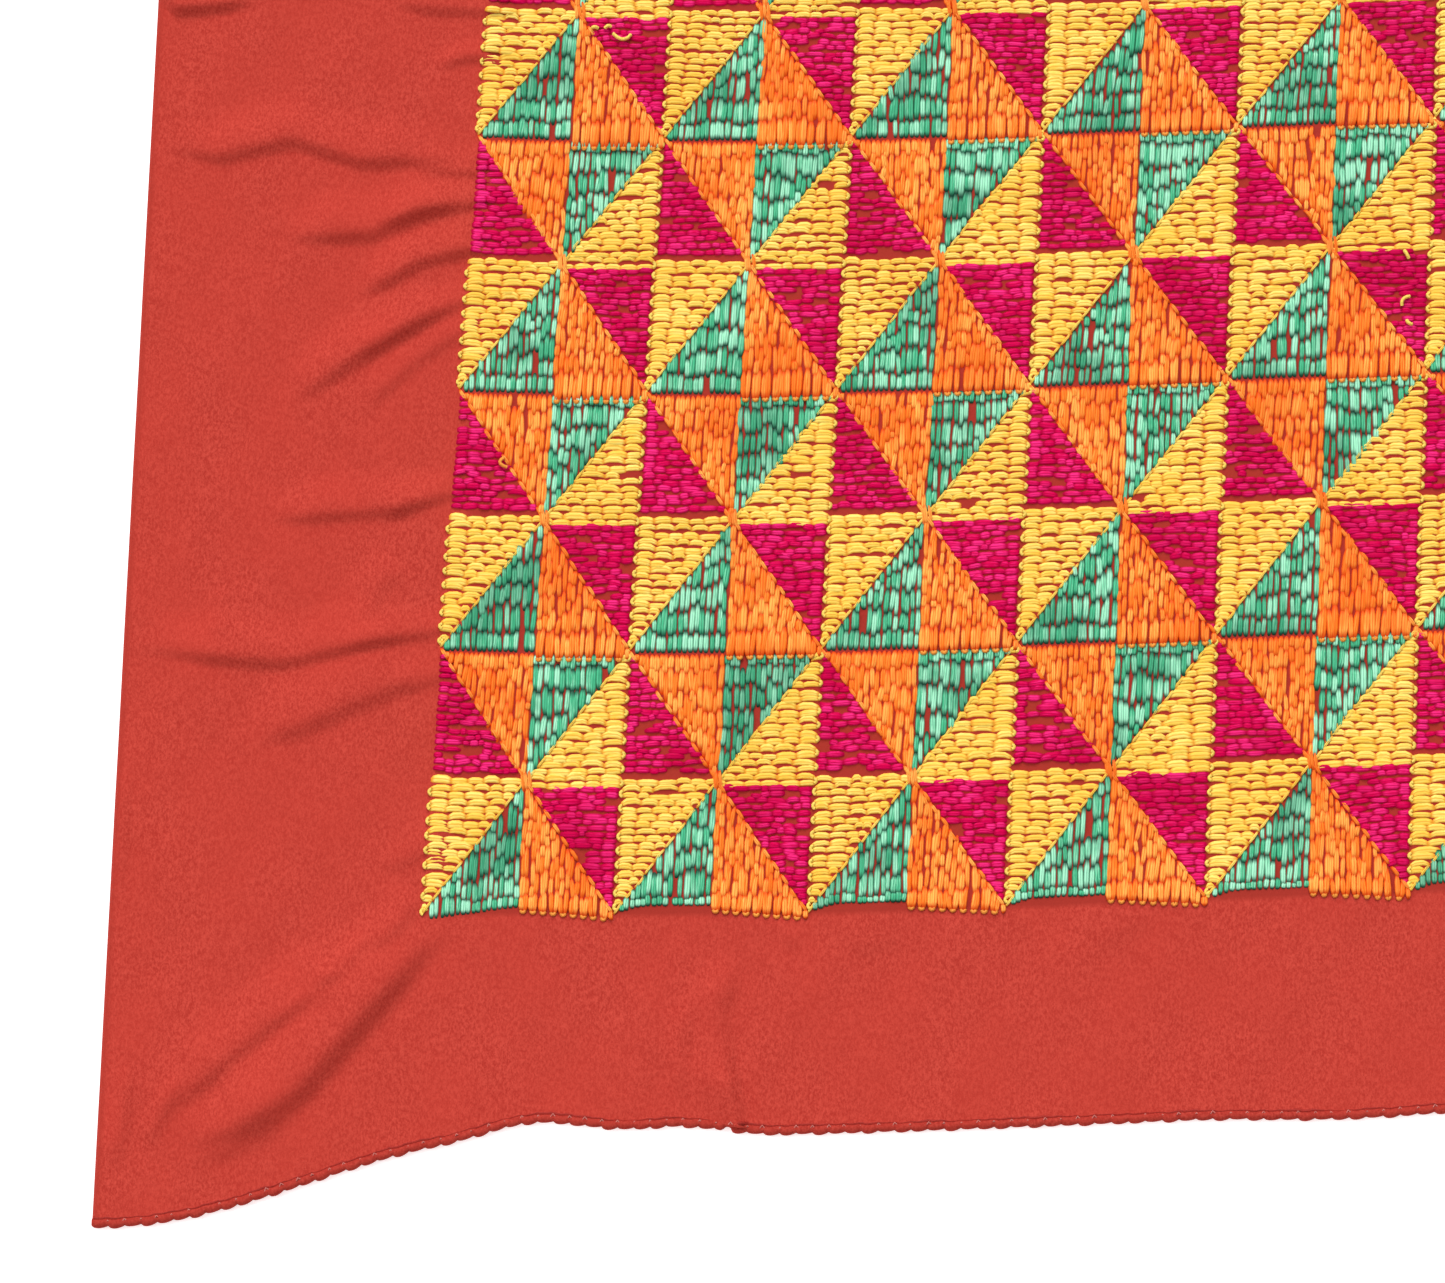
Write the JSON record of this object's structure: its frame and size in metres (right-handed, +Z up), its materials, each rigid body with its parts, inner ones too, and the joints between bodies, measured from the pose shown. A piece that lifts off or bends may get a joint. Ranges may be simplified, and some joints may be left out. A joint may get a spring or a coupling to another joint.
{
  "type": "phulkari shawl",
  "caption": "Rectangular embroidered shawl laid flat: plain cloth borders around a raised field of quartered diamonds, rolled hems on the short ends.",
  "frame": {"origin": "on the floor under the middle of the laid shawl", "axes": "+X across the shawl, +Y along it to the far hem, +Z up from the floor"},
  "size_m": [0.9466, 2.2798, 0.0047],
  "materials": {
    "red_cloth": "matt red crepe, covered over the field by satin floss in green, orange, yellow and magenta",
    "rolled_hem": "matt red cloth rolled and bound with a fine shell edging in red thread"
  },
  "bodies": {
    "root": {"ground_cloth": "red_cloth", "hem_near": "rolled_hem", "hem_far": "rolled_hem"}
  },
  "joints": []
}
